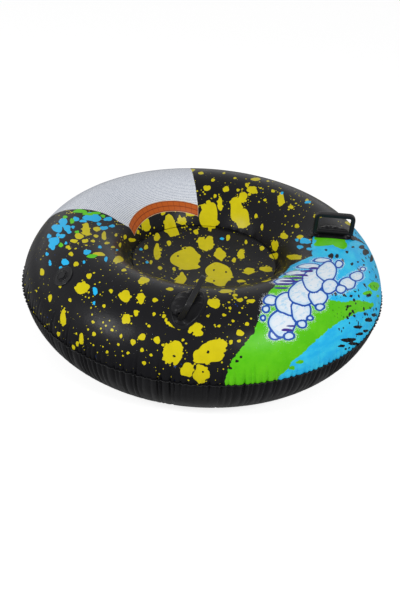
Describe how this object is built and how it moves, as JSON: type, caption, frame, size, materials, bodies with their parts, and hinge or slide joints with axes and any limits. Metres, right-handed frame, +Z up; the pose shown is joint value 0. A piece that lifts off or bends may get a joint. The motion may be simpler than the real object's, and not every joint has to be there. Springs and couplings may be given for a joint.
{
  "type": "inflatable snow tube",
  "caption": "Round inflated snow tube with a printed vinyl ring, a sagging seat floor, two swinging moulded handles on welded patches and a push-in air valve.",
  "frame": {"origin": "centre of the ring, on the ground it rests on", "axes": "+Z up through the seat well, -Y the front where the two handles are, +X to the rider's left as the rider sits facing the front"},
  "size_m": [0.9626, 0.9626, 0.3594],
  "materials": {
    "printed_vinyl": "smooth glossy calendered vinyl, black with a paint-splatter print in yellow, cyan, green and orange",
    "base_vinyl": "thicker smooth black vinyl of the lower skin",
    "weld_vinyl": "black vinyl pressed flat and fine-ribbed by the welding electrode",
    "patch_vinyl": "soft satin black vinyl of the patches and straps",
    "handle_plastic": "satin moulded black plastic",
    "valve_plastic": "soft satin black vinyl moulding"
  },
  "bodies": {
    "tube": {"top_skin": "printed_vinyl", "bottom_skin": "base_vinyl", "outer_weld_seam": "weld_vinyl", "inner_weld_seam": "weld_vinyl", "seat_floor": "printed_vinyl", "handle_patch_left": "patch_vinyl", "handle_patch_right": "patch_vinyl", "handle_strap_left": "patch_vinyl", "handle_strap_right": "patch_vinyl", "valve_flange": "valve_plastic"},
    "handle_left": {"handle_loop_left": "handle_plastic"},
    "handle_right": {"handle_loop_right": "handle_plastic"},
    "valve_stem": {"valve_stem": "valve_plastic"},
    "valve_plug": {"valve_plug": "valve_plastic"},
    "valve_flap": {"valve_flap": "valve_plastic"}
  },
  "joints": [
    {"name": "handle_left_pivot", "type": "hinge", "parent": "tube", "child": "handle_left", "pos_m": [0.24098, -0.22472, 0.3014], "axis": [0.6947, -0.7193, 0], "range_deg": [-88, 72]},
    {"name": "handle_right_pivot", "type": "hinge", "parent": "tube", "child": "handle_right", "pos_m": [-0.27669, -0.24566, 0.29523], "axis": [0.8619, 0.4192, 0.2853], "range_deg": [-98, 62]},
    {"name": "valve_stem_slide", "type": "slide", "parent": "tube", "child": "valve_stem", "axis": [-0.6118, 0.0893, 0.7859], "range_m": [0, 0.014]},
    {"name": "valve_plug_hinge", "type": "hinge", "parent": "valve_stem", "child": "valve_plug", "pos_m": [-0.42127, 0.06146, 0.2584], "axis": [-0.1444, -0.9895, 0], "range_deg": [0, 160]},
    {"name": "valve_flap_hinge", "type": "hinge", "parent": "valve_stem", "child": "valve_flap", "pos_m": [-0.40112, 0.05852, 0.23899], "axis": [0.1444, 0.9895, 0], "range_deg": [0, 70], "stiffness_Nm_per_rad": 0.0002, "springref_deg": -28.65}
  ]
}
